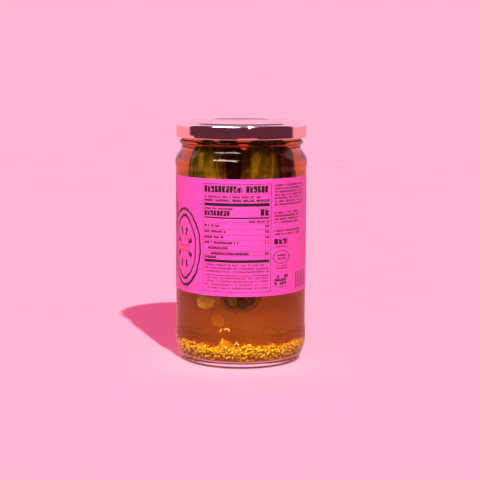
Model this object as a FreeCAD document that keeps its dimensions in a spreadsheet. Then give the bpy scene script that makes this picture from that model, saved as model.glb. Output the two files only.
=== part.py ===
"""Glass jar of pickles with a twist-off lid and a wrapped paper label.

Sizes are in millimetres. The origin is the middle of the foot, on the surface that the jar
stands on, and +Z points up through the lid. Angles count from +X towards +Y, so the front of
the jar, where the label's panel is, faces -Y.
"""
import FreeCAD, Part
import math
import os
import Sketcher

SIZES = {
    # glass body
    "body_radius": 43.25,           # at the two bands that stand proud of the label
    "lip_height": 154.9,            # top of the glass, above the foot
    "glass_wall": 2.4,
    "panel_recess": 0.45,           # how far the label's stretch of wall lies behind the bands
    "floor_height": 3.4,            # top of the thick glass bottom
    "floor_round": 9.0,             # inside, where floor and wall meet
    "push_up": 1.0,                 # hollow under the bottom
    "push_up_margin": 7.5,          # width of its slope, in from the foot
    "push_up_round": 5.0,
    "foot_width": 4.7,
    "foot_round": 2.6,
    "heel_width": 4.05,             # how far the foot stands in from the body
    "heel_height": 10.9,
    "heel_round": 18.0,
    "low_band_top": 20.0,
    "high_band_width": 3.95,        # from its lower edge up to the shoulder
    "band_slope": 2.5,              # height of the step between a band and the label's wall
    "band_round": 4.0,
    # shoulder, neck and finish
    "shoulder_rise": 6.15,
    "shoulder_width": 4.25,         # how far the neck stands in from the body
    "shoulder_round": 6.4,
    "inner_drop": 0.75,             # the shoulder's inside lies this much lower than its outside
    "neck_length": 15.8,            # from the top of the shoulder to the lip
    "neck_wall": 2.6,
    "neck_round": 4.5,
    "bead_drop": 9.7,               # from the lip down to the bead
    "bead_width": 3.3,
    "bead_reach": 1.45,
    "bead_slope": 0.8,
    "bead_round": 0.9,
    "finish_step": 0.2,             # the threaded stretch stands out this much from the neck
    "lip_round": 0.8,
    "thread_drop": 5.5,             # from the lip down to the underside of the threads
    "thread_width": 1.9,
    "thread_slope": 0.6,
    "thread_reach": 1.4,
    "thread_span": 30.0,            # degrees
    "thread_starts": 6,
    # lid
    "gasket_seat": 0.8,             # sealing compound between the lip and the lid's flat
    "lid_plate": 0.3,
    "lid_clearance": 1.55,          # from the threads to the inside of the wall
    "lid_shoulder_round": 1.7,
    "ring_rise": 0.5,               # the lid's raised ring stands this high above its flat
    "ring_overhang": 0.5,           # the ring's outer edge, outside the glass finish
    "ring_inset": 1.6,              # its inner edge, outside the bore
    "ring_slope": 0.5,
    "ring_round": 0.25,
    "ledge_drop": 0.8,              # flat between ring and shoulder, below the ring's top
    "button_radius": 15.5,
    "button_slope": 2.0,
    "button_rise": 0.45,
    "curl_drop": 2.95,              # from the underside of the threads down to the lid's edge
    "curl_clearance": 0.4,          # from the threads to the rolled edge
    "curl_depth": 2.2,
    "curl_round": 0.68,
    "lug_gap": 0.15,                # between a lug and the thread above it
    "lug_clearance": 0.5,           # from the glass finish to a lug
    "lug_width": 2.1,
    "lug_span": 22.0,               # degrees
    "lug_angle": -84.7,             # degrees, the lug nearest the front
    "dent_depth": 0.45,             # where the curl is pressed in, outside each lug
    "dent_rise": 2.0,
    "dent_span": 19.0,              # degrees
    "dent_edge": 0.5,
    # sealing ring between lid and lip
    "gasket_inset": 0.3,            # its inner edge, outside the bore
    "gasket_margin": 0.2,           # its outer edge, inside the glass finish
    # label
    "label_margin": 4.25,           # from the upper step down to the paper
    "label_foot_margin": 25.1,      # from the lower step up to the paper
    "label_paper": 0.15,
    "label_gap": 6.0,               # degrees left bare at the seam
    "label_middle": -135.0,         # degrees, the middle of the strip: the seam is opposite
    # filling
    "headspace": 7.3,              # from the lip down to the brine
    "meniscus_rise": 0.8,
    "meniscus_run": 2.2,
}

# Sums of sizes that several pieces share. A leading minus subtracts a size.
INNER_WALL = "body_radius -glass_wall"
LABEL_WALL = "body_radius -panel_recess"
SHOULDER_TOP = "lip_height -neck_length"
SHOULDER_FOOT = f"{SHOULDER_TOP} -shoulder_rise"
HIGH_BAND_FOOT = f"{SHOULDER_FOOT} -high_band_width"
NECK = "body_radius -shoulder_width"
BORE = f"{NECK} -neck_wall"
FINISH = f"{NECK} finish_step"
THREAD = f"{FINISH} thread_reach"
THREAD_FOOT = "lip_height -thread_drop"
LID_FLAT_UNDER = "lip_height gasket_seat"
LID_FLAT = f"{LID_FLAT_UNDER} lid_plate"
LID_TOP = f"{LID_FLAT} ring_rise"
LID_LEDGE = f"{LID_TOP} -ledge_drop"
RING_OUTER = f"{FINISH} ring_overhang"
RING_INNER = f"{BORE} ring_inset"
BRINE_LEVEL = "lip_height -headspace"
HOLLOW = [
    # inside of the glass, from the middle of the floor up to the bore
    ("", "floor_height", None),
    (INNER_WALL, "floor_height", "floor_round"),
    (INNER_WALL, f"{SHOULDER_FOOT} -inner_drop", "shoulder_round"),
    (BORE, f"{SHOULDER_TOP} -inner_drop", "neck_round"),
]

doc = FreeCAD.newDocument("PickleJar")


def make_sheet():
    """Put every size in a cell of its own, under its own name."""
    sheet = doc.addObject("Spreadsheet::Sheet", "Sizes")
    for row, (name, size) in enumerate(SIZES.items(), start=1):
        sheet.set(f"A{row}", name)
        sheet.set(f"B{row}", str(size))
        sheet.setAlias(f"B{row}", name)
    doc.recompute()


def total(terms):
    """Value of a sum of named sizes, where a leading minus subtracts one."""
    return sum(-SIZES[term[1:]] if term[0] == "-" else SIZES[term] for term in terms.split())


def formula(terms):
    """The same sum, written for the sheet."""
    parts = []
    for term in terms.split():
        parts.append(f"- Sizes.{term[1:]}" if term[0] == "-" else f"+ Sizes.{term}")
    return " ".join(parts)


def new_body(label):
    """Start a sub-part, with a label that names its file."""
    body = doc.addObject("PartDesign::Body", label)
    body.Label = label
    return body


def upright_sketch(body, name):
    """Sketch on the body's own XZ plane: across is the radius, up is the height."""
    sketch = body.newObject("Sketcher::SketchObject", name)
    plane = next(item for item in body.Origin.OriginFeatures if item.Role == "XZ_Plane")
    sketch.AttachmentSupport = (plane, [""])
    sketch.MapMode = "FlatFace"
    return sketch


def rounded_corner(before, corner, after, radius):
    """Ends of the arc that rounds a corner, its centre, and whether it turns left."""
    back = (before - corner).normalize()
    ahead = (after - corner).normalize()
    half = back.getAngle(ahead) / 2
    reach = radius / math.tan(half)
    centre = corner + (back + ahead).normalize() * (radius / math.sin(half))
    return corner + back * reach, corner + ahead * reach, centre, back.cross(ahead).z < 0


def arc_between(first, last, centre, turns_left):
    """Arc from first to last, drawn the way that the outline turns."""
    start, stop = (first, last) if turns_left else (last, first)
    angles = [math.atan2(point.y - centre.y, point.x - centre.x) for point in (start, stop)]
    circle = Part.Circle(centre, FreeCAD.Vector(0, 0, 1), (first - centre).Length)
    return Part.ArcOfCircle(circle, *angles)


def pin_point(sketch, geometry, end, radius_terms, height_terms):
    """Hold a point at its named radius and height, or on an axis where a sum is empty."""
    if radius_terms:
        number = sketch.addConstraint(
            Sketcher.Constraint("DistanceX", geometry, end, total(radius_terms)))
        sketch.setExpression(f"Constraints[{number}]", formula(radius_terms))
    else:
        sketch.addConstraint(Sketcher.Constraint("PointOnObject", geometry, end, -2))
    if height_terms:
        number = sketch.addConstraint(
            Sketcher.Constraint("DistanceY", geometry, end, total(height_terms)))
        sketch.setExpression(f"Constraints[{number}]", formula(height_terms))
    else:
        sketch.addConstraint(Sketcher.Constraint("PointOnObject", geometry, end, -1))


def draw_outline(sketch, corners):
    """Closed outline through corners of (radius sum, height sum, sum for its round or None).

    A rounded corner is a construction point on both of its lines, which an arc joins."""
    points = [FreeCAD.Vector(total(across), total(up), 0) for across, up, _ in corners]
    count = len(corners)
    rounds = {}
    for index, (_, _, round_terms) in enumerate(corners):
        if round_terms:
            rounds[index] = rounded_corner(points[index - 1], points[index],
                                           points[(index + 1) % count], total(round_terms))
    lines = []
    for index in range(count):
        following = (index + 1) % count
        start = rounds[index][1] if index in rounds else points[index]
        stop = rounds[following][0] if following in rounds else points[following]
        lines.append(sketch.addGeometry(Part.LineSegment(start, stop), False))
    for index, (across, up, round_terms) in enumerate(corners):
        incoming, outgoing = lines[index - 1], lines[index]
        if not round_terms:
            sketch.addConstraint(Sketcher.Constraint("Coincident", incoming, 2, outgoing, 1))
            pin_point(sketch, outgoing, 1, across, up)
            continue
        first, last, centre, turns_left = rounds[index]
        arc = sketch.addGeometry(arc_between(first, last, centre, turns_left), False)
        near_end, far_end = (1, 2) if turns_left else (2, 1)
        sketch.addConstraint(Sketcher.Constraint("Tangent", incoming, 2, arc, near_end))
        sketch.addConstraint(Sketcher.Constraint("Tangent", arc, far_end, outgoing, 1))
        number = sketch.addConstraint(Sketcher.Constraint("Radius", arc, total(round_terms)))
        sketch.setExpression(f"Constraints[{number}]", formula(round_terms))
        mark = sketch.addGeometry(Part.Point(points[index]), True)
        sketch.addConstraint(Sketcher.Constraint("PointOnObject", mark, 1, incoming))
        sketch.addConstraint(Sketcher.Constraint("PointOnObject", mark, 1, outgoing))
        pin_point(sketch, mark, 1, across, up)


def turned(body, name, corners, kind="Revolution", span=None):
    """Turn an outline about the jar's axis: all the way, or over a named span astride XZ."""
    sketch = upright_sketch(body, name + "Outline")
    draw_outline(sketch, corners)
    feature = body.newObject(f"PartDesign::{kind}", name)
    feature.Profile = sketch
    feature.ReferenceAxis = (sketch, ["V_Axis"])
    feature.Angle = 360
    if span:
        feature.Midplane = True
        feature.setExpression("Angle", span)
    sketch.Visibility = False
    doc.recompute()
    return feature


def repeated(body, name, features, count):
    """Repeat features evenly about the jar's axis."""
    pattern = body.newObject("PartDesign::PolarPattern", name)
    pattern.Originals = features
    axis = next(item for item in body.Origin.OriginFeatures if item.Role == "Z_Axis")
    pattern.Axis = (axis, [""])
    pattern.Angle = 360
    pattern.setExpression("Occurrences", count)
    body.Tip = pattern
    doc.recompute()


def turn_body(body, angle):
    """Turn a finished body about the jar's axis by an expression in degrees."""
    body.Placement = FreeCAD.Placement(FreeCAD.Vector(), FreeCAD.Rotation(0, 0, 0))
    body.setExpression("Placement.Rotation.Yaw", angle)


def make_jar():
    """Glass: foot, heel, two proud bands, shoulder, neck with its bead, and threaded finish."""
    body = new_body("jar")
    foot_edge = "body_radius -heel_width"
    hollow_edge = f"{foot_edge} -foot_width"
    bead_top = "lip_height -bead_drop"
    bead_foot = f"{bead_top} -bead_width"
    outside = [
        ("", "push_up", None),
        (f"{hollow_edge} -push_up_margin", "push_up", "push_up_round"),
        (hollow_edge, "", None),
        (foot_edge, "", "foot_round"),
        ("body_radius", "heel_height", "heel_round"),
        ("body_radius", "low_band_top", "band_round"),
        (LABEL_WALL, "low_band_top band_slope", "band_round"),
        (LABEL_WALL, f"{HIGH_BAND_FOOT} -band_slope", "band_round"),
        ("body_radius", HIGH_BAND_FOOT, "band_round"),
        ("body_radius", SHOULDER_FOOT, "shoulder_round"),
        (NECK, SHOULDER_TOP, "neck_round"),
        (NECK, bead_foot, None),
        (f"{NECK} bead_reach", f"{bead_foot} bead_slope", "bead_round"),
        (f"{NECK} bead_reach", f"{bead_top} -bead_slope", "bead_round"),
        (FINISH, bead_top, None),
        (FINISH, "lip_height", "lip_round"),
        (BORE, "lip_height", "lip_round"),
    ]
    turned(body, "Glass", outside + HOLLOW[::-1])
    thread = [
        (f"{FINISH} -lip_round", THREAD_FOOT, None),
        (THREAD, THREAD_FOOT, None),
        (THREAD, f"{THREAD_FOOT} thread_width -thread_slope", None),
        (f"{FINISH} -lip_round", f"{THREAD_FOOT} thread_width", None),
    ]
    ramp = turned(body, "Thread", thread, span="Sizes.thread_span")
    repeated(body, "Threads", [ramp], "Sizes.thread_starts")
    turn_body(body, "Sizes.lug_angle")
    return body


def make_lid():
    """Pressed steel cap: button, flat, ring, shoulder, wall and rolled edge with its lugs."""
    body = new_body("lid")
    wall_inside = f"{THREAD} lid_clearance"
    wall = f"{wall_inside} lid_plate"
    curl_foot = f"{THREAD_FOOT} -curl_drop"
    curl_inside = f"{THREAD} curl_clearance"
    button_edge = "button_radius button_slope"
    cap = [
        ("", f"{LID_FLAT} button_rise", None),
        ("button_radius", f"{LID_FLAT} button_rise", None),
        (button_edge, LID_FLAT, None),
        (f"{RING_INNER} -ring_slope", LID_FLAT, "ring_round"),
        (RING_INNER, LID_TOP, "ring_round"),
        (RING_OUTER, LID_TOP, "ring_round"),
        (f"{RING_OUTER} ring_slope", LID_LEDGE, "ring_round"),
        (wall, LID_LEDGE, "lid_shoulder_round"),
        (wall, curl_foot, "curl_round"),
        (curl_inside, curl_foot, "curl_round"),
        (curl_inside, f"{curl_foot} curl_depth", None),
        (wall_inside, f"{curl_foot} curl_depth", None),
        (wall_inside, f"{LID_LEDGE} -lid_plate", "lid_shoulder_round -lid_plate"),
        (RING_OUTER, f"{LID_LEDGE} -lid_plate", None),
        (f"{RING_OUTER} -lid_plate", f"{LID_TOP} -lid_plate", None),
        (f"{RING_INNER} lid_plate", f"{LID_TOP} -lid_plate", None),
        (RING_INNER, LID_FLAT_UNDER, None),
        (button_edge, LID_FLAT_UNDER, None),
        ("button_radius", f"{LID_FLAT_UNDER} button_rise", None),
        ("", f"{LID_FLAT_UNDER} button_rise", None),
    ]
    turned(body, "Cap", cap)
    lug_top = f"{THREAD_FOOT} -lug_gap"
    lug = [
        (f"{FINISH} lug_clearance", f"{lug_top} -lug_width", None),
        (wall_inside, f"{lug_top} -lug_width", None),
        (wall_inside, lug_top, None),
        (f"{FINISH} lug_clearance", lug_top, None),
    ]
    folded = turned(body, "Lug", lug, span="Sizes.lug_span")
    dent = [
        (f"{wall} dent_edge", f"{curl_foot} -dent_edge", None),
        (f"{wall} dent_edge", f"{curl_foot} dent_rise", None),
        (wall, f"{curl_foot} dent_rise", None),
        (f"{wall} -dent_depth", curl_foot, None),
        (f"{wall} -dent_depth", f"{curl_foot} -dent_edge", None),
    ]
    pressed = turned(body, "Dent", dent, kind="Groove", span="Sizes.dent_span")
    repeated(body, "Lugs", [folded, pressed], "Sizes.thread_starts")
    turn_body(body, "Sizes.lug_angle")
    return body


def make_gasket():
    """Sealing ring: fills the lid's channel down to the glass lip."""
    body = new_body("gasket")
    ring = [
        (f"{BORE} gasket_inset", "lip_height", None),
        (f"{FINISH} -gasket_margin", "lip_height", None),
        (RING_OUTER, f"{LID_LEDGE} -lid_plate", None),
        (f"{RING_OUTER} -lid_plate", f"{LID_TOP} -lid_plate", None),
        (f"{RING_INNER} lid_plate", f"{LID_TOP} -lid_plate", None),
        (RING_INNER, LID_FLAT_UNDER, None),
        (f"{BORE} gasket_inset", LID_FLAT_UNDER, None),
    ]
    turned(body, "SealingRing", ring)
    return body


def make_label():
    """Paper label, wrapped on the recessed stretch of the wall, with a bare seam."""
    body = new_body("label")
    paper_foot = "low_band_top band_slope label_foot_margin"
    paper_top = f"{HIGH_BAND_FOOT} -band_slope -label_margin"
    strip = [
        (LABEL_WALL, paper_foot, None),
        (f"{LABEL_WALL} label_paper", paper_foot, None),
        (f"{LABEL_WALL} label_paper", paper_top, None),
        (LABEL_WALL, paper_top, None),
    ]
    turned(body, "Wrap", strip, span="360 - Sizes.label_gap")
    turn_body(body, "Sizes.label_middle")
    return body


def make_brine():
    """Liquid that fills the glass up to its level and climbs a little at the wall."""
    body = new_body("brine")
    surface = [
        (BORE, f"{BRINE_LEVEL} meniscus_rise", None),
        (f"{BORE} -meniscus_run", BRINE_LEVEL, None),
        ("", BRINE_LEVEL, None),
    ]
    turned(body, "Liquid", HOLLOW + surface)
    return body


def write_parts(bodies):
    """Check that everything computed and is sound, then write one STEP file for each body."""
    doc.recompute()
    for item in doc.Objects:
        if "Invalid" in item.State or "Error" in item.State:
            raise RuntimeError(f"{item.Label} did not compute: {item.State}")
        if item.isDerivedFrom("Sketcher::SketchObject") and item.solve() != 0:
            raise RuntimeError(f"{item.Label} does not solve")
    for body in bodies:
        if body.Shape.isNull() or not body.Shape.isValid():
            raise RuntimeError(f"{body.Label} has no sound shape")
        if len(body.Shape.Solids) != 1:
            raise RuntimeError(f"{body.Label} is not one solid")
    os.makedirs("parts", exist_ok=True)
    for body in bodies:
        body.Shape.exportStep(f"parts/{body.Label}.step")
        box = body.Shape.BoundBox
        print(f"{body.Label}: {body.Shape.Volume / 1000:.2f} cm3, "
              f"z {box.ZMin:.2f} to {box.ZMax:.2f}, width {box.XLength:.2f}")


make_sheet()
write_parts([make_jar(), make_lid(), make_gasket(), make_label(), make_brine()])
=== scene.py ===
"""Studio scene of a jar of pickles: glass, brine, pickles, spices, lid, seal and paper label.

Shapes are drawn in millimetres and turned into metres when a piece is finished. The jar stands
at the origin, +Z runs up through the lid and the label's panel faces -Y.
"""
import math
import random

import bmesh
import bpy
from mathutils import Matrix, Vector, noise


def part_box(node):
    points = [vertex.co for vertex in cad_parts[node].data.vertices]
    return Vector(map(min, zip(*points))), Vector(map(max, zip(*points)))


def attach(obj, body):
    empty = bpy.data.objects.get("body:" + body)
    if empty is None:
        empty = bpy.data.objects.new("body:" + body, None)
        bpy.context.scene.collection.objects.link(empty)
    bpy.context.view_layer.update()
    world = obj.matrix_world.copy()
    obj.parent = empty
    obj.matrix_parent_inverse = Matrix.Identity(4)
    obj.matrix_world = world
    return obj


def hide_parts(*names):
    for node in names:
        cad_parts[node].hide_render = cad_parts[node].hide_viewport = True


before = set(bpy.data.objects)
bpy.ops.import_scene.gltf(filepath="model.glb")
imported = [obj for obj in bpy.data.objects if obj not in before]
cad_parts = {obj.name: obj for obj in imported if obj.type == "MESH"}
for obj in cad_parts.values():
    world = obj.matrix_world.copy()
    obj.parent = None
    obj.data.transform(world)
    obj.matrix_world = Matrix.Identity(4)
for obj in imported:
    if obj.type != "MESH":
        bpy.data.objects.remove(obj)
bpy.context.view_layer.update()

MM = 0.001
FRONT = math.radians(-90)


def box_in_mm(node):
    """Lowest and highest corner of one solid, in millimetres."""
    low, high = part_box(node)
    return low / MM, high / MM


jar_high = box_in_mm("jar")[1]
lid_low, lid_high = box_in_mm("lid")
paper_low, paper_high = box_in_mm("label")
brine_low, brine_high = box_in_mm("brine")

# glass
BODY_RADIUS = jar_high.x
LIP = jar_high.z
LIP_ROUND = 0.8
GLASS_WALL = 2.4
INNER_RADIUS = BODY_RADIUS - GLASS_WALL
LABEL_WALL = BODY_RADIUS - 0.45
FLOOR = brine_low.z
FLOOR_ROUND = 9.0
PUSH_UP = 1.0
PUSH_UP_MARGIN = 7.5
PUSH_UP_ROUND = 5.0
FOOT_WIDTH = 4.7
FOOT_ROUND = 2.6
FOOT_CREASE = 0.9
HEEL_WIDTH = 4.05
HEEL_HEIGHT = 10.9
HEEL_ROUND = 18.0
SHOULDER_TOP = LIP - 15.8
SHOULDER_FOOT = SHOULDER_TOP - 6.15
SHOULDER_ROUND = 6.4
HIGH_BAND_FOOT = SHOULDER_FOOT - 3.95
LOW_BAND_TOP = 20.0
BAND_SLOPE = 2.5
BAND_ROUND = 4.0
INNER_DROP = 0.75
NECK = BODY_RADIUS - 4.25
NECK_ROUND = 4.5
BORE = NECK - 2.6
BEAD_TOP = LIP - 9.7
BEAD_FOOT = BEAD_TOP - 3.3
BEAD = NECK + 1.45
BEAD_SLOPE = 0.8
BEAD_ROUND = 0.9
BEAD_CREASE = 0.25
FINISH = NECK + 0.2
THREAD = FINISH + 1.4
THREAD_FOOT = LIP - 5.5
THREAD_WIDTH = 1.9
THREAD_SLOPE = 0.6
THREAD_ROUND = 0.3
THREADS = 6
THREAD_SPAN = 30.0
LUG_ANGLE = -84.7
# lid
LID_TOP = lid_high.z
LID_FOOT = lid_low.z
LID_WALL = THREAD + 1.85
LID_SHOULDER_ROUND = 1.7
LID_PLATE = 0.3
LID_FLAT = LID_TOP - 0.5
LID_LEDGE = LID_TOP - 0.8
RING_OUTER = FINISH + 0.5
RING_INNER = BORE + 1.6
RING_SLOPE = 0.5
RING_ROUND = 0.25
BUTTON_RADIUS = 15.5
BUTTON_EDGE = 17.5
BUTTON_RISE = 0.45
BUTTON_ROUND = 4.0
CURL_DEPTH = 2.2
CURL_CLEARANCE = 0.4
CURL_ROUND = 0.68
LUG_GAP = 0.15
LUG_CLEARANCE = 0.5
LUG_WIDTH = 2.1
LUG_ROUND = 0.4
LUG_SPAN = 22.0
DENT_SPAN = 19.0
DENT_DEPTH = 0.45
DENT_RISE = 2.0
DENT_EASE = 1.2
# label
PAPER_FOOT = paper_low.z
PAPER_TOP = paper_high.z
PAPER = 0.15
SEAM_MIDDLE = 45.0
SEAM_GAP = 6.0
# filling
MENISCUS_RISE = 0.8
MENISCUS_RUN = 2.2
BRINE_LEVEL = brine_high.z - MENISCUS_RISE
BRINE_OVERLAP = 0.3
# each shell's shift to the back, radius and share that isn't clear
HAZE_SHELLS = ((5.2, 35.2, 0.45), (8.0, 32.3, 0.5))
HAZE_TOP = 100.0
SEED_SIZE = 1.05
SEED_HEAP = 13.2

TURN_STEPS = 256
ROUND_STEPS = 6


# ---------------------------------------------------------------- shapes

def wire_outline(corners):
    """Wire in the XZ plane through corners of (radius, height, round or None)."""
    shape = bmesh.new()
    verts = [shape.verts.new((across, 0, up)) for across, up, _ in corners]
    for near, far in zip(verts, verts[1:] + verts[:1]):
        if near.co.x > 0 or far.co.x > 0:
            shape.edges.new((near, far))
    for vert, (_, _, size) in zip(verts, corners):
        if size:
            one, other = [(edge.other_vert(vert).co - vert.co) for edge in vert.link_edges]
            reach = size / math.tan(one.angle(other) / 2)
            bmesh.ops.bevel(shape, geom=[vert], offset=reach, offset_type="OFFSET",
                            segments=ROUND_STEPS, profile=0.5, affect="VERTICES", material=-1)
    return shape


def turned(corners, steps=TURN_STEPS, span=360.0, middle=0.0):
    """Turn a closed outline about the jar's axis, all the way or over a span of degrees."""
    shape = wire_outline(corners)
    whole = span == 360.0
    if not whole:
        start = Matrix.Rotation(math.radians(middle - span / 2), 3, "Z")
        bmesh.ops.rotate(shape, verts=shape.verts, matrix=start)
        bmesh.ops.contextual_create(shape, geom=shape.edges[:])
    bmesh.ops.spin(shape, geom=shape.verts[:] + shape.edges[:] + shape.faces[:],
                   axis=(0, 0, 1), cent=(0, 0, 0), dvec=(0, 0, 0),
                   angle=math.radians(span), steps=steps, use_merge=whole,
                   use_duplicate=False)
    bmesh.ops.remove_doubles(shape, verts=shape.verts, dist=0.001)
    bmesh.ops.recalc_face_normals(shape, faces=shape.faces)
    return shape


def add_shape(whole, part):
    """Copy one shape into another."""
    mesh = bpy.data.meshes.new("part")
    part.to_mesh(mesh)
    part.free()
    whole.from_mesh(mesh)
    bpy.data.meshes.remove(mesh)


def finished(name, shape, material, node=None, sharp=35.0):
    """Make a piece of a shape drawn in millimetres, smooth except along its sharp edges."""
    bmesh.ops.scale(shape, vec=(MM, MM, MM), verts=shape.verts)
    mesh = bpy.data.meshes.new(name)
    shape.to_mesh(mesh)
    shape.free()
    mesh.shade_smooth()
    mesh.set_sharp_from_angle(angle=math.radians(sharp))
    mesh.materials.append(material)
    piece = bpy.data.objects.new(name, mesh)
    bpy.context.scene.collection.objects.link(piece)
    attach(piece, "root")
    if node:
        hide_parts(node)
    return piece


# ---------------------------------------------------------------- materials

def colour(red, green, blue):
    """Linear colour of a display colour counted to 255."""
    def linear(part):
        part /= 255
        return part / 12.92 if part <= 0.04045 else ((part + 0.055) / 1.055) ** 2.4
    return (linear(red), linear(green), linear(blue), 1.0)


class Nodes:
    """Short ways to add nodes to a material or to a stamp."""

    def __init__(self, tree):
        self.nodes = tree.nodes
        self.links = tree.links

    def node(self, kind, inputs=None, **settings):
        """Add a node; inputs are numbers, colours or sockets by name or place."""
        node = self.nodes.new("ShaderNode" + kind)
        for key, value in settings.items():
            setattr(node, key, value)
        for key, value in (inputs or {}).items():
            self.feed(node.inputs[key], value)
        return node

    def feed(self, socket, value):
        """Link a socket to a socket, or set its number or colour."""
        if isinstance(value, bpy.types.NodeSocket):
            self.links.new(value, socket)
        else:
            socket.default_value = value

    def sum(self, operation, one, other):
        """Result of one arithmetic step."""
        return self.node("Math", {0: one, 1: other}, operation=operation).outputs[0]

    def mix(self, factor, under, over):
        """Two colours mixed by a factor."""
        return self.node("Mix", {0: factor, 6: under, 7: over}, data_type="RGBA").outputs[2]

    def blend(self, factor, under, over):
        """Two shaders mixed by a factor."""
        return self.node("MixShader", {0: factor, 1: under, 2: over}).outputs[0]

    def share(self, value, low, high):
        """How far a value is on its way from low to high, from 0 to 1."""
        return self.node("MapRange", {0: value, 1: low, 2: high}).outputs[0]


class Finish(Nodes):
    """A material with its surface shader."""

    def __init__(self, name):
        self.material = bpy.data.materials.new(name)
        self.material.use_nodes = True
        super().__init__(self.material.node_tree)
        self.surface = self.nodes["Principled BSDF"]
        self.output = self.nodes["Material Output"]

    def set(self, **inputs):
        """Set inputs of the surface shader, with underscores for spaces."""
        for key, value in inputs.items():
            self.feed(self.surface.inputs[key.replace("_", " ")], value)

    def place(self, scale=(1.0, 1.0, 1.0)):
        """The piece's own place in space, stretched by a scale."""
        where = self.node("TexCoord").outputs["Object"]
        return self.node("Mapping", {"Vector": where, "Scale": scale}).outputs[0]

    def speckle(self, scale, detail=2.0, stretch=(1.0, 1.0, 1.0), roughness=0.5):
        """Noise from 0 to 1 over the piece, in bumps per metre."""
        return self.node("TexNoise", {"Vector": self.place(stretch), "Scale": scale,
                                      "Detail": detail, "Roughness": roughness}).outputs[0]

    def ramp(self, factor, *stops):
        """Colours along a factor, as (place, colour) pairs."""
        ramp = self.node("ValToRGB", {0: factor})
        elements = ramp.color_ramp.elements
        for index, (place, tint) in enumerate(stops):
            stop = elements[index] if index < 2 else elements.new(place)
            stop.position = place
            stop.color = tint
        return ramp.outputs[0]

    def bump(self, height, strength, distance):
        """Relief of a height in metres."""
        normal = self.node("Bump", {"Height": height, "Strength": strength,
                                    "Distance": distance}).outputs[0]
        self.set(Normal=normal)

    def shown_as(self, shader):
        """Use a shader for the surface."""
        self.links.new(shader, self.output.inputs["Surface"])

    def lets_lamps_through(self, tint):
        """Shadow rays pass, so that lamps reach what lies behind the surface."""
        path = self.node("LightPath").outputs["Is Shadow Ray"]
        clear = self.node("BsdfTransparent", {"Color": tint}).outputs[0]
        self.shown_as(self.blend(path, self.surface.outputs[0], clear))

    def absorbs(self, tint, density):
        """Plain absorption inside a closed piece."""
        volume = self.node("VolumeAbsorption", {"Color": tint, "Density": density})
        self.links.new(volume.outputs[0], self.output.inputs["Volume"])


def clear_glass():
    """Clear moulded glass, very slightly wavy."""
    glass = Finish("clear_glass")
    glass.set(Base_Color=(0.985, 0.99, 0.985, 1), Roughness=0.0, IOR=1.5)
    glass.set(Transmission_Weight=1.0, Specular_Tint=(0.75, 0.5, 0.38, 1))
    glass.bump(glass.speckle(28, 2), 0.12, 0.0006)
    glass.lets_lamps_through((0.92, 0.92, 0.92, 1))
    return glass.material


def amber_brine():
    """Clear brine that takes on its colour with depth."""
    brine = Finish("brine")
    brine.set(Base_Color=(1, 1, 1, 1), Roughness=0.0, IOR=1.34, Transmission_Weight=1.0)
    brine.set(Specular_Tint=(0, 0, 0, 1))
    brine.absorbs((0.9, 0.48, 0.05, 1), 60.0)
    brine.lets_lamps_through((0.62, 0.46, 0.12, 1))
    return brine.material


def tinned_steel():
    """Bright tinplate with faint wear."""
    steel = Finish("tinned_steel")
    wear = steel.speckle(900, 3, (1, 1, 0.3))
    steel.set(Base_Color=(0.97, 0.93, 0.93, 1), Metallic=1.0)
    rough = steel.node("MapRange", {0: wear, 3: 0.06, 4: 0.13}).outputs[0]
    steel.set(Roughness=rough)
    steel.bump(steel.speckle(260, 2), 0.05, 0.0003)
    return steel.material


def sealing_compound():
    """Off-white sealing compound, half matt."""
    compound = Finish("sealing_compound")
    shade = compound.speckle(1500)
    compound.set(Base_Color=compound.ramp(shade, (0.3, colour(214, 205, 196)),
                                          (0.7, colour(230, 223, 214))), Roughness=0.55)
    compound.bump(shade, 0.2, 0.0002)
    return compound.material


def pickle_skin():
    """Olive cucumber skin with pale streaks and warts."""
    skin = Finish("pickle_skin")
    dark, light, streak = colour(42, 38, 1), colour(87, 84, 2), colour(146, 144, 5)
    streaks = skin.speckle(260, 4, (1, 1, 0.14), 0.6)
    warts = skin.speckle(420, 2, (1, 1, 0.6))
    base = skin.ramp(streaks, (0.32, dark), (0.52, light), (0.72, streak))
    spots = skin.ramp(warts, (0.6, (0, 0, 0, 1)), (0.75, (1, 1, 1, 1)))
    skin.set(Base_Color=skin.mix(spots, base, streak), Roughness=0.45, IOR=1.05)
    skin.bump(skin.sum("ADD", streaks, warts), 0.5, 0.0012)
    return skin.material


def plain_food(name, dark, light, scale):
    """A mottled food in two shades."""
    food = Finish(name)
    shade = food.speckle(scale, 3)
    food.set(Base_Color=food.ramp(shade, (0.35, dark), (0.65, light)), Roughness=0.4, IOR=1.06)
    food.bump(shade, 0.3, 0.0003)
    return food.material


# ---------------------------------------------------------------- glass and brine

def glass_hollow(inset=0.0):
    """Inside of the glass, from the middle of the floor up to the bore."""
    return [
        (0, FLOOR - inset, None),
        (INNER_RADIUS + inset, FLOOR - inset, FLOOR_ROUND + inset),
        (INNER_RADIUS + inset, SHOULDER_FOOT - INNER_DROP, SHOULDER_ROUND),
        (BORE + inset, SHOULDER_TOP - INNER_DROP, NECK_ROUND),
    ]


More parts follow.
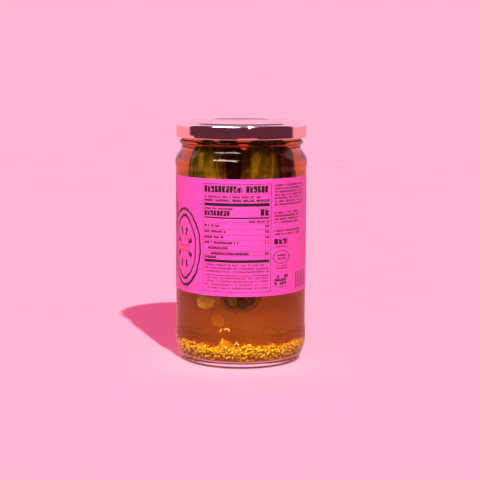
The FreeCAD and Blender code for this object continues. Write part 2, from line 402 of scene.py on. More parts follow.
def make_glass():
    """Foot, heel, two proud bands, shoulder, neck with its bead, and threaded finish."""
    foot = BODY_RADIUS - HEEL_WIDTH
    hollow = foot - FOOT_WIDTH
    outside = [
        (0, PUSH_UP, None),
        (hollow - PUSH_UP_MARGIN, PUSH_UP, PUSH_UP_ROUND),
        (hollow, 0, FOOT_CREASE),
        (foot, 0, FOOT_ROUND),
        (BODY_RADIUS, HEEL_HEIGHT, HEEL_ROUND),
        (BODY_RADIUS, LOW_BAND_TOP, BAND_ROUND),
        (LABEL_WALL, LOW_BAND_TOP + BAND_SLOPE, BAND_ROUND),
        (LABEL_WALL, HIGH_BAND_FOOT - BAND_SLOPE, BAND_ROUND),
        (BODY_RADIUS, HIGH_BAND_FOOT, BAND_ROUND),
        (BODY_RADIUS, SHOULDER_FOOT, SHOULDER_ROUND),
        (NECK, SHOULDER_TOP, NECK_ROUND),
        (NECK, BEAD_FOOT, BEAD_CREASE),
        (BEAD, BEAD_FOOT + BEAD_SLOPE, BEAD_ROUND),
        (BEAD, BEAD_TOP - BEAD_SLOPE, BEAD_ROUND),
        (FINISH, BEAD_TOP, BEAD_CREASE),
        (FINISH, LIP, LIP_ROUND),
        (BORE, LIP, LIP_ROUND),
    ]
    glass = turned(outside + glass_hollow()[::-1])
    thread = [
        (FINISH - LIP_ROUND, THREAD_FOOT, None),
        (THREAD, THREAD_FOOT, THREAD_ROUND),
        (THREAD, THREAD_FOOT + THREAD_WIDTH - THREAD_SLOPE, THREAD_ROUND),
        (FINISH - LIP_ROUND, THREAD_FOOT + THREAD_WIDTH, None),
    ]
    for index in range(THREADS):
        middle = LUG_ANGLE + index * 360 / THREADS
        add_shape(glass, turned(thread, 24, THREAD_SPAN, middle))
    finished("glass_jar", glass, clear_glass(), "jar", sharp=60)


def make_brine():
    """Brine that reaches just into the glass and climbs a little at the wall."""
    surface = [
        (BORE + BRINE_OVERLAP, BRINE_LEVEL + MENISCUS_RISE, None),
        (BORE, BRINE_LEVEL + MENISCUS_RISE, None),
        (BORE - 0.7, BRINE_LEVEL + 0.25, 0.8),
        (BORE - MENISCUS_RUN, BRINE_LEVEL, 2.0),
        (0, BRINE_LEVEL, None),
    ]
    brine = turned(glass_hollow(BRINE_OVERLAP) + surface)
    finished("brine_fill", brine, amber_brine(), "brine", sharp=60)


# ---------------------------------------------------------------- lid

def lug_share(angle, span, ease):
    """1 astride a lug and 0 away from it, eased at the ends, for an angle in degrees."""
    step = 360 / THREADS
    off = abs((angle - LUG_ANGLE + step / 2) % step - step / 2)
    return min(1.0, max(0.0, (span / 2 + ease - off) / (2 * ease)))


def make_lid():
    """Pressed steel cap: button, flat, ring, shoulder, wall and rolled edge with its lugs."""
    wall_inside = LID_WALL - LID_PLATE
    curl_inside = THREAD + CURL_CLEARANCE
    curl_top = LID_FOOT + CURL_DEPTH
    under = LID_FLAT - LID_PLATE
    cap = [
        (0, LID_FLAT + BUTTON_RISE, None),
        (BUTTON_RADIUS, LID_FLAT + BUTTON_RISE, BUTTON_ROUND),
        (BUTTON_EDGE, LID_FLAT, BUTTON_ROUND),
        (RING_INNER - RING_SLOPE, LID_FLAT, RING_ROUND),
        (RING_INNER, LID_TOP, RING_ROUND),
        (RING_OUTER, LID_TOP, RING_ROUND),
        (RING_OUTER + RING_SLOPE, LID_LEDGE, RING_ROUND),
        (LID_WALL, LID_LEDGE, LID_SHOULDER_ROUND),
        (LID_WALL, LID_FOOT, CURL_ROUND),
        (curl_inside, LID_FOOT, CURL_ROUND),
        (curl_inside, curl_top, None),
        (wall_inside, curl_top, None),
        (wall_inside, LID_LEDGE - LID_PLATE, LID_SHOULDER_ROUND - LID_PLATE),
        (RING_OUTER, LID_LEDGE - LID_PLATE, None),
        (RING_OUTER - LID_PLATE, LID_TOP - LID_PLATE, None),
        (RING_INNER + LID_PLATE, LID_TOP - LID_PLATE, None),
        (RING_INNER, under, None),
        (BUTTON_EDGE, under, None),
        (BUTTON_RADIUS, under + BUTTON_RISE, None),
        (0, under + BUTTON_RISE, None),
    ]
    lid = turned(cap, 360)
    tall = [edge for edge in lid.edges
            if abs(edge.verts[0].co.z - edge.verts[1].co.z) > 3 * DENT_RISE / 2]
    bmesh.ops.subdivide_edges(lid, edges=tall, cuts=9, use_grid_fill=True)
    for vert in lid.verts:
        radius = vert.co.xy.length
        if radius > LID_WALL - 1.2 and vert.co.z < LID_FOOT + DENT_RISE:
            angle = math.degrees(math.atan2(vert.co.y, vert.co.x))
            share = lug_share(angle, DENT_SPAN, DENT_EASE)
            fade = 1 - max(0.0, vert.co.z - LID_FOOT) / DENT_RISE
            vert.co.xy *= 1 - share * fade * DENT_DEPTH / radius
    lug_top = THREAD_FOOT - LUG_GAP
    lug = [
        (FINISH + LUG_CLEARANCE, lug_top - LUG_WIDTH, LUG_ROUND),
        (wall_inside, lug_top - LUG_WIDTH, None),
        (wall_inside, lug_top, None),
        (FINISH + LUG_CLEARANCE, lug_top, LUG_ROUND),
    ]
    for index in range(THREADS):
        add_shape(lid, turned(lug, 18, LUG_SPAN, LUG_ANGLE + index * 360 / THREADS))
    finished("lid_cap", lid, tinned_steel(), "lid")


def dress_gasket():
    """The sealing ring's own solid, in its compound."""
    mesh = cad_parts["gasket"].data
    mesh.materials.clear()
    mesh.materials.append(sealing_compound())


# ---------------------------------------------------------------- label

class Ink:
    """A number over the label: sums and comparisons of it make the print."""

    def __init__(self, tree, socket):
        self.tree = tree
        self.socket = socket

    def step(self, operation, *others):
        """One arithmetic step on the number."""
        inputs = {0: self.socket}
        for index, other in enumerate(others, start=1):
            inputs[index] = other.socket if isinstance(other, Ink) else other
        return Ink(self.tree, self.tree.node("Math", inputs, operation=operation).outputs[0])

    def __add__(self, other):
        return self.step("ADD", other)

    def __sub__(self, other):
        return self.step("SUBTRACT", other)

    def __mul__(self, other):
        return self.step("MULTIPLY", other)

    def __truediv__(self, other):
        return self.step("DIVIDE", other)

    def __lt__(self, other):
        return self.step("LESS_THAN", other)

    def __gt__(self, other):
        return self.step("GREATER_THAN", other)

    def between(self, low, high):
        return (self > low) * (self < high)


def stamp(name, sizes, draw):
    """A node group that adds one kind of mark to the ink that it is given."""
    group = bpy.data.node_groups.new(name, "ShaderNodeTree")
    group.interface.new_socket("ink", in_out="OUTPUT", socket_type="NodeSocketFloat")
    names = ["ink", "across", "up"] + sizes
    for size in names:
        group.interface.new_socket(size, in_out="INPUT", socket_type="NodeSocketFloat")
    tree = Nodes(group)
    given = group.nodes.new("NodeGroupInput")
    under, *numbers = [Ink(tree, given.outputs[size]) for size in names]
    result = under.step("MAXIMUM", draw(tree, *numbers))
    tree.links.new(result.socket, group.nodes.new("NodeGroupOutput").inputs[0])
    return group


def draw_bar(tree, across, up, left, right, low, high):
    """A filled oblong."""
    return across.between(left, right) * up.between(low, high)


def draw_border(tree, across, up, left, right, low, high, line):
    """The edge of an oblong."""
    outer = draw_bar(tree, across, up, left, right, low, high)
    return outer - draw_bar(tree, across, up, left + line, right - line, low + line, high - line)


def draw_words(tree, across, up, left, right, high, rows, pitch, tall, letter, weight, gaps):
    """Rows of letter-like dabs from a top height downwards, with gaps between words."""
    down = (high - up) / pitch
    cell = (across - left) / letter
    spot = tree.node("CombineXYZ", {0: cell.step("FLOOR").socket, 1: down.step("FLOOR").socket,
                                    2: (left + high).socket})
    chance = Ink(tree, tree.node("TexWhiteNoise", {"Vector": spot.outputs[0]}).outputs["Value"])
    stroke = tree.node("CombineXYZ", {0: (cell * 3.0).step("FLOOR").socket,
                                      1: (down * pitch / tall * 4.0).step("FLOOR").socket})
    strokes = Ink(tree, tree.node("TexWhiteNoise", {"Vector": stroke.outputs[0]}).outputs["Value"])
    dab = (down.step("FRACT") < tall / pitch) * (cell.step("FRACT") < weight) * (chance > gaps)
    dab = dab * (strokes > 0.1)
    return dab * draw_bar(tree, across, up, left, right, high - rows * pitch, high)


def draw_ring(tree, across, up, x, y, wide, tall, line, wobble):
    """An outline of an oval, a little uneven."""
    one, other = (across - x) / wide, (up - y) / tall
    reach = (one * one + other * other).step("SQRT") + wobble
    return reach.step("COMPARE", 1.0, line / (wide + tall))


def draw_pips(tree, across, up, x, y, wide, tall):
    """Eight seeds round the middle of an oval slice."""
    one, other = (across - x) / wide, (up - y) / tall
    reach = (one * one + other * other).step("SQRT")
    turn = other.step("ARCTAN2", one) * (8 / math.tau) + 8.0
    on_spoke = (turn.step("FRACT") - 0.5).step("ABSOLUTE") < 0.16
    return on_spoke * reach.between(0.34, 0.56)


class Print:
    """Everything printed on the label, in millimetres across from the front and up."""

    def __init__(self, finish):
        self.finish = finish
        self.wrap = finish.node("UVMap", uv_map="wrap").outputs[0]
        self.place = finish.node("SeparateXYZ", {0: self.wrap}).outputs
        edges = ["left", "right", "low", "high"]
        self.stamps = {
            "bar": stamp("bar", edges, draw_bar),
            "border": stamp("border", edges + ["line"], draw_border),
            "words": stamp("words", ["left", "right", "high", "rows", "pitch", "tall", "letter",
                                     "weight", "gaps"], draw_words),
            "ring": stamp("ring", ["x", "y", "wide", "tall", "line", "wobble"], draw_ring),
            "pips": stamp("pips", ["x", "y", "wide", "tall"], draw_pips),
        }
        self.ink = 0.0

    def mark(self, kind, *sizes):
        """Add one mark of a kind to the ink."""
        inputs = dict(enumerate((self.ink, self.place[0], self.place[1]) + sizes))
        self.ink = self.finish.node("Group", node_tree=self.stamps[kind])
        for key, value in inputs.items():
            self.finish.feed(self.ink.inputs[key], value)
        self.ink = self.ink.outputs[0]

    def bar(self, left, right, low, high):
        self.mark("bar", left, right, low, high)

    def border(self, left, right, low, high, line):
        self.mark("border", left, right, low, high, line)

    def words(self, left, right, high, rows, pitch, tall, letter, weight=0.72, gaps=0.16):
        self.mark("words", left, right, high, rows, pitch, tall, letter, weight, gaps)

    def ring(self, x, y, wide, tall, line, wobble=0.0):
        self.mark("ring", x, y, wide, tall, line, wobble)


FACTS_LEFT = -25.7
FACTS_RIGHT = 19.9
FACTS_LOW = 50.3
FACTS_HIGH = 119.3
FACTS_LINE = 0.35
ROWS_TOP = 94.6
INSIDE_INDEX = 4                    # the material after those of the four drawings


def printed_paper(name, draw):
    """Bright pink paper with dark print, and a little red print where the drawing asks for it."""
    paper = Finish(name)
    dark = Print(paper)
    red = Print(paper)
    draw(dark, red)
    fibres = paper.speckle(2200, 3)
    pink = paper.ramp(fibres, (0.3, colour(240, 72, 176)), (0.7, colour(248, 80, 186)))
    warm = paper.mix(red.ink, pink, colour(250, 34, 40))
    black = paper.ramp(fibres, (0.3, colour(20, 2, 12)), (0.7, colour(34, 6, 22)))
    paper.set(Base_Color=paper.mix(dark.ink, warm, black), Roughness=0.42, IOR=1.75)
    paper.bump(fibres, 0.12, 0.0001)
    return paper.material


def paper_inside():
    """Back of the paper, with a glow that stands for the light that comes through it."""
    paper = Finish("label_inside")
    fibres = paper.speckle(2200, 3)
    paper.set(Base_Color=paper.ramp(fibres, (0.3, colour(250, 120, 180)),
                                    (0.7, colour(255, 132, 190))), Roughness=0.8)
    paper.set(Emission_Color=colour(255, 200, 205), Emission_Strength=0.65)
    paper.bump(fibres, 0.12, 0.0001)
    return paper.material


def draw_heading(ink, red):
    """Upper part of the facts panel: large word-like blocks and thick bars."""
    left, right = FACTS_LEFT, FACTS_RIGHT
    ink.border(left, right, FACTS_LOW, FACTS_HIGH, FACTS_LINE)
    ink.words(left + 1.3, 0.8, 118.0, 1, 5.0, 4.2, 2.45, 0.84, 0.0)
    ink.words(3.2, right - 2.0, 118.0, 1, 5.0, 4.2, 2.45, 0.84, 0.0)
    ink.bar(left + 1.2, right - 1.2, 112.85, 113.1)
    ink.words(left + 1.3, right - 7.5, 111.8, 1, 3.0, 1.6, 0.95, 0.72)
    ink.words(left + 1.3, right - 1.3, 109.6, 1, 3.0, 1.6, 0.95, 0.85)
    ink.bar(left + 1.2, right - 1.2, 105.1, 107.1)
    ink.words(left + 1.3, left + 20.5, 104.2, 1, 3.0, 1.3, 0.8, 0.8, 0.1)
    ink.words(left + 1.3, left + 18.5, 102.3, 1, 4.0, 3.3, 2.2, 0.84, 0.0)
    ink.words(right - 7.4, right - 1.3, 103.4, 1, 5.0, 4.3, 3.1, 0.8, 0.0)
    ink.bar(left + 1.2, right - 1.2, 97.3, 98.2)
    ink.words(right - 15.0, right - 1.3, 96.2, 1, 3.0, 1.4, 0.85, 0.8, 0.1)


def draw_rows(ink, red):
    """Lower part of the facts panel: thin rules with a row of words under each."""
    left, right = FACTS_LEFT, FACTS_RIGHT
    ink.border(left, right, FACTS_LOW, FACTS_HIGH, FACTS_LINE)
    rows = [(93.4, 12.0, 1.3), (89.8, 16.0, 1.3), (86.2, 14.5, 1.3), (82.7, 24.0, 1.3),
            (79.3, 17.5, 4.0), (75.9, 31.0, 6.0), (73.4, 10.0, 1.3)]
    for top, end, start in rows:
        ink.bar(left + 1.2, right - 1.2, top + 0.55, top + 0.75)
        ink.words(left + start, left + end, top, 1, 3.0, 1.6, 0.95, 0.88, 0.12)
    ink.words(right - 4.2, right - 1.4, 93.4, 4, 3.57, 1.55, 0.95, 0.8, 0.1)
    ink.words(right - 4.2, right - 1.4, 75.9, 1, 3.0, 1.55, 0.95, 0.8, 0.1)
    ink.bar(left + 1.2, right - 1.2, 69.3, 71.1)
    ink.words(left + 1.3, right - 1.8, 68.3, 3, 2.1, 1.25, 0.78, 0.66)
    ink.bar(left + 1.2, right - 1.2, 60.75, 61.25)
    ink.words(left + 1.3, right - 2.0, 60.0, 4, 2.15, 1.25, 0.78, 0.6)


def draw_small_print(ink, red):
    """Beside the panel: small print, plain marks and a run of upright bars."""
    side = 22.2
    ink.words(side, side + 27.0, 118.6, 7, 2.03, 1.3, 0.8, 0.72)
    ink.words(side, side + 22.0, 101.2, 4, 2.05, 1.3, 0.8, 0.78)
    ink.words(side, side + 24.0, 89.6, 2, 2.1, 1.3, 0.8, 0.74)
    ink.words(side, side + 11.0, 83.9, 1, 4.5, 3.5, 3.5, 0.78, 0.0)
    ink.words(side + 1.0, side + 10.0, 79.2, 1, 3.0, 0.8, 0.7, 0.7)
    ink.ring(side + 5.8, 72.0, 6.4, 4.1, 0.55)
    ink.words(side + 2.4, side + 9.4, 73.9, 2, 2.1, 1.4, 0.95, 0.75, 0.05)
    ink.words(side + 1.2, side + 10.4, 66.8, 2, 1.6, 0.95, 0.75, 0.7)
    ink.words(side + 0.4, side + 11.2, 60.6, 3, 2.3, 1.9, 1.9, 0.86, 0.3)
    ink.words(side + 1.2, side + 10.4, 53.2, 1, 3.0, 0.9, 0.8, 0.7)
    ink.words(39.5, 56.5, 61.0, 1, 11.5, 10.6, 0.8, 0.62, 0.25)


def draw_front(ink, red):
    """Front of the label: sliced cucumber in outline, with a few dabs of red."""
    uneven = ink.finish.node("TexNoise", {"Vector": ink.wrap, "Scale": 0.11, "Detail": 1.0})
    wobble = ink.finish.node("MapRange", {0: uneven.outputs[0], 3: -0.08, 4: 0.08}).outputs[0]
    slices = [(-43.5, 76.8, 15.6, 24.6), (-70.0, 98.0, 15.0, 15.0), (-94.0, 70.0, 16.0, 16.0),
              (-120.0, 98.0, 15.0, 15.0), (-69.0, 62.0, 9.0, 9.0), (-118.0, 62.0, 9.0, 9.0)]
    for x, y, wide, tall in slices:
        ink.ring(x, y, wide, tall, 1.6, wobble)
        ink.ring(x, y, wide * 0.74, tall * 0.82, 1.4, wobble)
        ink.mark("pips", x, y, wide, tall)
    red.words(-48.0, -38.5, 78.6, 2, 3.2, 1.4, 1.5, 0.9, 0.0)
    red.words(-73.5, -66.5, 98.8, 1, 3.4, 1.6, 1.5, 0.9, 0.0)


def label_zone(across, up):
    """Which drawing a place on the label belongs to."""
    if across < FACTS_LEFT - 1:
        return 0
    if across > FACTS_RIGHT + 1:
        return 3
    return 1 if up > ROWS_TOP else 2


def make_label():
    """Paper strip wrapped round the recessed stretch of the wall, bare at the seam."""
    strip = [
        (LABEL_WALL + 0.02, PAPER_FOOT, None),
        (LABEL_WALL + PAPER, PAPER_FOOT, None),
        (LABEL_WALL + PAPER, PAPER_TOP, None),
        (LABEL_WALL + 0.02, PAPER_TOP, None),
    ]
    label = turned(strip, 236, 360 - SEAM_GAP, SEAM_MIDDLE + 180)
    bmesh.ops.bisect_plane(label, geom=label.verts[:] + label.edges[:] + label.faces[:],
                           plane_co=(0, 0, ROWS_TOP), plane_no=(0, 0, 1))
    wrap = label.loops.layers.uv.new("wrap")
    outside = LABEL_WALL + PAPER
    for face in label.faces:
        middle = face.calc_center_median()
        centre = math.atan2(middle.y, middle.x) - FRONT + math.radians(SEAM_MIDDLE)
        centre = centre % math.tau - math.radians(SEAM_MIDDLE)
        if centre > math.radians(90 + SEAM_MIDDLE):
            centre -= math.tau
        face.material_index = label_zone(centre * outside, middle.z)
        if face.normal.dot(Vector((middle.x, middle.y, 0)).normalized()) < -0.7:
            face.material_index = INSIDE_INDEX
        for loop in face.loops:
            angle = math.atan2(loop.vert.co.y, loop.vert.co.x) - FRONT
            angle = centre + (angle - centre + math.pi) % math.tau - math.pi
            loop[wrap].uv = (angle * outside, loop.vert.co.z)
    front, *others = [printed_paper("label_" + draw.__name__[5:], draw)
                      for draw in (draw_front, draw_heading, draw_rows, draw_small_print)]
    piece = finished("paper_label", label, front, "label", sharp=40)
    for material in others + [paper_inside()]:
        piece.data.materials.append(material)


# ---------------------------------------------------------------- food

def pickle(foot, tip, thickness, seed, blunt=2.6, bend=0.6):
    """A whole small cucumber between two points, uneven, warty and a little bent."""
    rng = random.Random(seed)
    shape = bmesh.new()
    bmesh.ops.create_uvsphere(shape, u_segments=72, v_segments=90, radius=1.0)
    foot, tip = Vector(foot), Vector(tip)
    length = (tip - foot).length
    lean = (tip - foot).to_track_quat("Z", "Y").to_matrix().to_4x4()
    place = Matrix.Translation((foot + tip) / 2) @ lean
    shift = Vector((rng.uniform(-50, 50), rng.uniform(-50, 50), rng.uniform(-50, 50)))
    ribs = rng.choice((5, 6))
    phase = rng.uniform(0, math.tau)
    for vert in shape.verts:
        along = max(-1.0, min(1.0, vert.co.z))
        angle = math.atan2(vert.co.y, vert.co.x)
        full = (1 - abs(along) ** blunt) ** (1 / blunt)
        round_share = math.sqrt(max(0.0, 1 - along * along))
        spread = full / round_share if round_share > 1e-4 else 0.0
        x, y = vert.co.x * spread, vert.co.y * spread
        at = Vector((x * thickness / 2, y * thickness / 2, along * length / 2))
        swell = 1 + 0.05 * noise.noise(at * 0.05 + shift) + 0.02 * math.cos(ribs * angle + phase)
        wart = noise.noise(at * 0.42 + shift)
        swell += 0.05 * max(0.0, wart - 0.25) * full
        vert.co = Vector((at.x * swell, at.y * swell, at.z))
        vert.co.x += bend * (1 - along * along)
    bmesh.ops.transform(shape, matrix=place, verts=shape.verts)
    bmesh.ops.remove_doubles(shape, verts=shape.verts, dist=0.0005)
    bmesh.ops.recalc_face_normals(shape, faces=shape.faces)
    return shape


def on_ring(degrees_from_front, radius, height):
    """A point at an angle from the front, counted towards +X."""
    angle = FRONT + math.radians(degrees_from_front)
    return (radius * math.cos(angle), radius * math.sin(angle), height)


def make_pickles():
    """Upright pickles in the upper part, and one in front whose end shows below the label."""
    skin = pickle_skin()
    # place across and back at the foot and the tip, with their heights, and thickness
    pickles = [
        (-18.0, -14.5, 70, -18.6, -13.5, 145.0, 23.0),
        (10.2, -16.0, 66, 10.6, -15.5, 146.0, 23.0),
        (16.0, 5.0, 60, 16.4, 5.5, 144.0, 20.0),
        (-6.0, 8.0, 52, -6.0, 8.0, 144.0, 20.0),
        (8.0, 26.0, 60, 8.0, 25.0, 142.0, 20.0),
        (-11.0, 26.0, 62, -10.5, 25.0, 138.0, 18.0),
        (-0.5, -23.2, 34.2, -1.0, -8.0, 96.0, 31.0),
    ]
    for index, (low_x, low_y, low, high_x, high_y, high, thick) in enumerate(pickles):
        foot, tip = (low_x, low_y, low), (high_x, high_y, high)
        shape = pickle(foot, tip, thick, index + 3)
        finished(f"pickle_{index + 1}", shape, skin)


def make_garlic():
    """Peeled cloves: one in front of the heap, others higher up in the cloudy brine. One garlic flesh comes
    in two copies: darker for the low clove as painted shade, lighter for the high cloves as painted light
    where the label shades them.
    """
    # painted shade and painted light: one garlic flesh, darker for the low clove and lighter for the high
    # cloves in the label's shadow
    low = plain_food("garlic_painted_shade", colour(170, 128, 10), colour(194, 152, 20), 300)
    high = plain_food("garlic_painted_light", colour(226, 196, 60), colour(244, 220, 90), 300)
    add_cloves("garlic_clove_low", low, [(on_ring(-16, 33.0, 14.0), 7.6, 10.0, 70)])
    add_cloves("garlic_cloves_high", high, [(on_ring(-37, 27.5, 43.5), 13.0, 20.0, 80),
                                            (on_ring(-29, 20.5, 30.5), 13.0, 19.0, 12)])


def add_cloves(name, flesh, cloves):
    """Cloves from (place, thickness, length, tilt in degrees)."""
    heap = bmesh.new()
    for place, thick, length, tilt in cloves:
        clove = bmesh.new()
        bmesh.ops.create_uvsphere(clove, u_segments=32, v_segments=24, radius=1.0)
        for vert in clove.verts:
            taper = 1 - 0.28 * vert.co.z - 0.1 * vert.co.z ** 2
            vert.co.x = vert.co.x * taper * thick / 2 + 0.14 * thick * vert.co.z ** 2
            vert.co.y *= taper * thick / 2 * (0.9 if vert.co.y > 0 else 0.75)
            vert.co.z *= length / 2
        turn = Matrix.Rotation(math.radians(tilt), 4, "Y")
        bmesh.ops.transform(clove, matrix=Matrix.Translation(place) @ turn, verts=clove.verts)
        add_shape(heap, clove)
    bmesh.ops.recalc_face_normals(heap, faces=heap.faces)
    finished(name, heap, flesh)


def cavity(height, margin):
    """Radius of the glass hollow at a height, less a margin from its wall."""
    if height >= FLOOR + FLOOR_ROUND:
        return INNER_RADIUS - margin
    drop = FLOOR + FLOOR_ROUND - height
    reach = FLOOR_ROUND - margin
    if drop >= reach:
        return 0.0
    return INNER_RADIUS - FLOOR_ROUND + math.sqrt(reach * reach - drop * drop)


def scattered(places):
    """One shape of many small round seeds, from (place, radius) pairs."""
    whole = bmesh.new()
    for start in range(0, len(places), 40):
        batch = bmesh.new()
        for place, size in places[start:start + 40]:
            matrix = Matrix.Translation(place) @ Matrix.Scale(size, 4)
            bmesh.ops.create_uvsphere(batch, u_segments=7, v_segments=5, radius=1.0,
                                      matrix=matrix)
        add_shape(whole, batch)
    return whole


def make_mustard_seeds():
    """Seeds heaped over the floor, higher at the wall; those deep inside the heap are left out."""
    hull = plain_food("mustard_hull", colour(184, 120, 4), colour(244, 204, 26), 420)
    rng = random.Random(11)
    pitch = 2 * SEED_SIZE
    places = []
    height, layer = FLOOR + SEED_SIZE, 0
    while height < SEED_HEAP + 2:
        reach, ring = cavity(height, SEED_SIZE), 0
        while reach - ring * pitch * 0.9 > 2:
            radius = reach - ring * pitch * 0.9
            count = int(math.tau * radius / pitch)
            phase = rng.uniform(0, math.tau)
            for index in range(count):
                angle = phase + index * math.tau / count + rng.uniform(-0.02, 0.02)
                place = Vector((radius * math.cos(angle), radius * math.sin(angle), height))
                top = SEED_HEAP - 0.055 * (INNER_RADIUS - radius)
                top += 1.3 * noise.noise(place * 0.08) + 2.2 * noise.noise(place * 0.24)
                seen = ring < 2 or layer == 0 or height > top - 2.0 * pitch
                if height > top or not seen:
                    continue
                place.z += rng.uniform(-0.8, 0.8) if layer else 0.0
                if ring:
                    place += Vector((rng.uniform(-0.3, 0.3), rng.uniform(-0.3, 0.3), 0))
                places.append((place, SEED_SIZE * rng.uniform(0.86, 1.04)))
            ring += 1
        height += pitch * 0.84
        layer += 1
    heap = scattered(places)
    finished("mustard_seeds", heap, hull, sharp=180)


def make_haze():
    """Cloudy brine from the floor up to behind the label, in shells set back from the front, each with a
    faint orange painted glow.
    """
    for index, (back, radius, share) in enumerate(HAZE_SHELLS):
        cloud = Finish(f"cloudy_brine_painted_glow_{index + 1}")
        drift = cloud.speckle(24, 2, (1, 1, 0.5))
        tint = cloud.ramp(drift, (0.3, colour(130, 86, 2)), (0.7, colour(158, 118, 8)))
        cloud.set(Base_Color=tint, Roughness=1.0, IOR=1.02)
        # painted glow: a faint orange emission that stands in for light scattered in the cloudy brine
        cloud.set(Emission_Color=colour(164, 77, 5), Emission_Strength=0.4)
        clear = cloud.node("BsdfTransparent", {"Color": (1, 1, 1, 1)})
        cloud.shown_as(cloud.blend(share, clear.outputs[0], cloud.surface.outputs[0]))
        body = [
            (0, FLOOR + 0.8 + index, None),
            (radius, FLOOR + 0.8 + index, 8.0),
            (radius, HAZE_TOP - index, 12.0),
            (0, HAZE_TOP - index, None),
        ]
        shape = turned(body, 96)
        bmesh.ops.translate(shape, vec=(0, back, 0), verts=shape.verts)
        finished(f"cloudy_brine_painted_glow_{index + 1}", shape, cloud.material, sharp=60)


def make_dill():
    """Scraps of dill and pale slivers of garlic that drift near the front wall."""
    frond = plain_food("dill_frond", colour(60, 62, 14), colour(104, 100, 30), 500)
    pale = plain_food("garlic_sliver", colour(226, 196, 90), colour(244, 222, 130), 500)
    rng = random.Random(5)
    scraps = bmesh.new()
    for degrees, height in ((-24, 48.6), (22, 49.0), (60, 53.0), (-75, 51.0), (110, 50.0),
                            (160, 50.0), (-140, 52.0)):
        stem = bmesh.new()
        bmesh.ops.create_cone(stem, cap_ends=True, segments=8, radius1=0.35, radius2=0.15,
                              depth=7.0)
        for index in range(5):
            leaf = Matrix.Translation((0, 0, index * 1.2 - 2.5))
            leaf = leaf @ Matrix.Rotation(rng.uniform(0, math.tau), 4, "Z")
            leaf = leaf @ Matrix.Rotation(0.9, 4, "Y") @ Matrix.Translation((0, 0, 1.4))
            bmesh.ops.create_cone(stem, cap_ends=True, segments=6, radius1=0.22, radius2=0.05,
                                  depth=2.8, matrix=leaf)
        turn = Matrix.Rotation(rng.uniform(0.6, 1.5), 4, (rng.random(), rng.random(), 0.2))
        place = Matrix.Translation(on_ring(degrees, 35.5, height))
        bmesh.ops.transform(stem, matrix=place @ turn, verts=stem.verts)
        add_shape(scraps, stem)
    finished("dill_scraps", scraps, frond)
    slivers = bmesh.new()
    for degrees, height, long_side, turn in ((-19, 24.6, 2.4, 0.4), (-14, 25.6, 2.8, 1.35),
                                             (-11, 25.0, 2.0, -0.5), (-17.5, 17.6, 2.8, 0.1),
                                             (-4.5, 16.4, 2.8, 0.8), (-3, 16.2, 2.8, -0.8)):
        chip = bmesh.new()
        bmesh.ops.create_cube(chip, size=1.0)
        bmesh.ops.scale(chip, vec=(0.9, 0.6, long_side), verts=chip.verts)
        bmesh.ops.bevel(chip, geom=chip.edges[:], offset=0.2, offset_type="OFFSET", segments=3,
                        profile=0.5, affect="EDGES", material=-1)
        lean = Matrix.Rotation(turn, 4, "Y")
        place = Matrix.Translation(on_ring(degrees, 37.2, height))
        bmesh.ops.transform(chip, matrix=place @ lean, verts=chip.verts)
        add_shape(slivers, chip)
    finished("garlic_slivers", slivers, pale)


# ---------------------------------------------------------------- studio

BACKDROP = colour(254, 183, 213)
SHADOW = colour(231, 86, 133)
MIRRORED_PINK = colour(255, 146, 158)
MIRRORED_ROOM = colour(91, 42, 52)
MIRRORED_FLOOR = colour(110, 34, 28)
SOFT_FILL = (0.3, 0.06, 0.12)
KEY_POWER = 2.45
KEY_LIGHT = 0.546                   # how bright the key makes a white floor
UNDER_JAR = (0.0385, 0.0402)        # metres from the origin, over which the painted amber light and painted shade under the jar end
FLOOR_REACH = (-0.34, -0.24)        # metres along Y, over which the mirrored floor turns from dark to pink
ROOM_EDGE = (0.18, 0.28)            # Y of a direction, over which the mirrored room turns from dark to pink
HORIZON = (-0.04, 0.08)             # Z of a direction, over which mirrored pink turns to the backdrop
LENS = 99.53
CAMERA_PLACE = (0, -0.8705, 0.1998)
CAMERA_AIM = (-0.0006, 0, 0.078)
CAMERA_ROLL = 0.004
LAMP_AIM = (0, 0, 0.08)


def ways_seen(tree, path):
    """Whether a place is seen directly or through glass, and whether in a reflection."""
    direct = tree.sum("MAXIMUM", path["Is Camera Ray"], path["Is Transmission Ray"])
    direct = tree.sum("MULTIPLY", direct, tree.sum("LESS_THAN", path["Diffuse Depth"], 0.5))
    direct = tree.sum("MULTIPLY", direct, tree.sum("LESS_THAN", path["Glossy Depth"], 0.5))
    bounced = tree.sum("GREATER_THAN", path["Glossy Depth"], 0.5)
    return direct, tree.sum("MAXIMUM", path["Is Glossy Ray"], bounced)


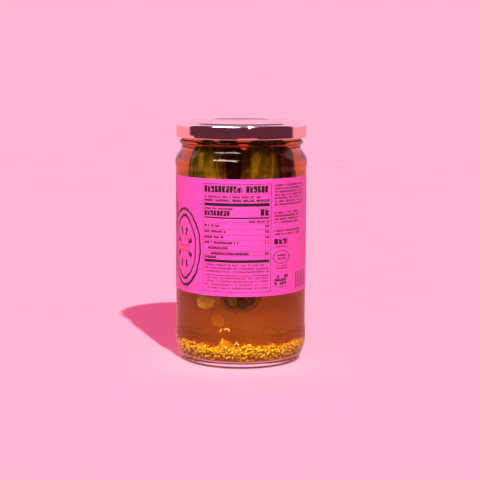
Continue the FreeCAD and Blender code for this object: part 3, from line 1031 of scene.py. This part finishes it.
def make_backdrop():
    """A pink floor that meets a pink surround of the same colour."""
    floor = bpy.data.meshes.new("floor")
    shape = bmesh.new()
    bmesh.ops.create_grid(shape, x_segments=1, y_segments=1, size=1.0)
    bmesh.ops.scale(shape, vec=(0.9, 1.2, 1), verts=shape.verts)
    bmesh.ops.translate(shape, vec=(0, 0.3, 0), verts=shape.verts)
    shape.to_mesh(floor)
    shape.free()
    paint = Finish("pink_floor")
    seen, reflected = ways_seen(paint, paint.node("LightPath").outputs)
    lit = [max(0.0, whole - dark) for whole, dark in zip(BACKDROP[:3], SHADOW[:3])]
    tint = [part / KEY_LIGHT for part in lit]
    glow_tint = [dark - part * fill for dark, part, fill in zip(SHADOW, tint, SOFT_FILL)]
    from_jar = paint.node("VectorMath", {0: paint.place()}, operation="LENGTH").outputs[1]
    # painted shade and painted light under the jar: a dark matt and an amber glow stand for the shade and
    # the amber light that falls through the brine under the foot
    beside = paint.share(from_jar, *UNDER_JAR)
    matt = paint.node("BsdfDiffuse", {0: paint.mix(beside, colour(120, 30, 12), (*tint, 1))})
    glow = paint.node("Emission", {0: paint.mix(beside, colour(150, 40, 16), (*glow_tint, 1))})
    shown = paint.node("AddShader", {0: matt.outputs[0], 1: glow.outputs[0]})
    plain = paint.node("BsdfDiffuse", {"Color": BACKDROP})
    depth = paint.node("SeparateXYZ", {0: paint.place()}).outputs["Y"]
    reach = paint.share(depth, *FLOOR_REACH)
    mirrored = paint.node("Emission", {0: paint.mix(reach, MIRRORED_FLOOR, MIRRORED_PINK)})
    unseen = paint.blend(reflected, plain.outputs[0], mirrored.outputs[0])
    paint.shown_as(paint.blend(seen, unseen, shown.outputs[0]))
    floor.materials.append(paint.material)
    piece = bpy.data.objects.new("floor", floor)
    bpy.context.scene.collection.objects.link(piece)
    return piece


def make_surround():
    """Pink all round for the camera and through glass, a room with a dark front for reflections,
    and a soft fill for the rest."""
    world = bpy.data.worlds.new("surround")
    bpy.context.scene.world = world
    world.use_nodes = True
    world.node_tree.nodes.clear()
    air = Nodes(world.node_tree)
    where = air.node("TexCoord").outputs["Generated"]
    parts = air.node("SeparateXYZ", {0: where}).outputs
    sides = air.mix(air.share(parts["Z"], *HORIZON), MIRRORED_PINK, BACKDROP)
    room = air.mix(air.share(parts["Y"], *ROOM_EDGE), MIRRORED_ROOM, sides)
    flat, shiny, fill = [air.node("Background", {"Color": tint}).outputs[0]
                         for tint in (BACKDROP, room, (*SOFT_FILL, 1))]
    direct, reflected = ways_seen(air, air.node("LightPath").outputs)
    shown = air.blend(direct, air.blend(reflected, fill, shiny), flat)
    air.node("OutputWorld", {"Surface": shown})


def from_direction(degrees_from_front, elevation, distance):
    """A place round the jar, counted from the front towards +X."""
    turn, rise = FRONT + math.radians(degrees_from_front), math.radians(elevation)
    return Vector((math.cos(turn) * math.cos(rise), math.sin(turn) * math.cos(rise),
                   math.sin(rise))) * distance


def area_lamp(name, degrees, elevation, distance, size, power, tint):
    """An oblong lamp that faces the jar."""
    lamp = bpy.data.lights.new(name, "AREA")
    lamp.shape = "RECTANGLE"
    lamp.size, lamp.size_y = size
    lamp.energy = power
    lamp.color = tint
    holder = bpy.data.objects.new(name, lamp)
    aim = Vector(LAMP_AIM)
    holder.location = from_direction(degrees, elevation, distance) + aim
    holder.rotation_euler = (aim - holder.location).to_track_quat("-Z", "Y").to_euler()
    bpy.context.scene.collection.objects.link(holder)
    return holder


def make_lights(floor):
    """A hard key from the right and a large softbox that leaves the floor alone."""
    sun = bpy.data.lights.new("hard_key", "SUN")
    sun.energy = KEY_POWER
    sun.angle = math.radians(1.5)
    key = bpy.data.objects.new("hard_key", sun)
    key.rotation_euler = from_direction(19, 44.5, -1).to_track_quat("-Z", "Y").to_euler()
    bpy.context.scene.collection.objects.link(key)
    softbox = area_lamp("softbox", -33, 46, 1.5, (1.05, 0.42), 20, (1.0, 0.98, 1.0))
    unlit = bpy.data.collections.new("unlit_by_softbox")
    unlit.objects.link(floor)
    softbox.light_linking.receiver_collection = unlit
    unlit.collection_objects[0].light_linking.link_state = "EXCLUDE"


def make_camera():
    """A long lens from the front, a little above the jar."""
    camera = bpy.data.objects.new("camera", bpy.data.cameras.new("camera"))
    camera.data.lens = LENS
    camera.data.sensor_width = 36.0
    camera.data.clip_start = 0.05
    camera.location = CAMERA_PLACE
    camera.rotation_euler = (Vector(CAMERA_AIM) - camera.location).to_track_quat("-Z", "Y").to_euler()
    camera.rotation_euler.rotate_axis("Z", CAMERA_ROLL)
    bpy.context.scene.collection.objects.link(camera)
    bpy.context.scene.camera = camera


bpy.context.scene.view_settings.view_transform = "Standard"
make_camera()
make_surround()
make_lights(make_backdrop())
make_glass()
make_brine()
make_lid()
dress_gasket()
make_label()
make_pickles()
make_garlic()
make_mustard_seeds()
make_dill()
make_haze()
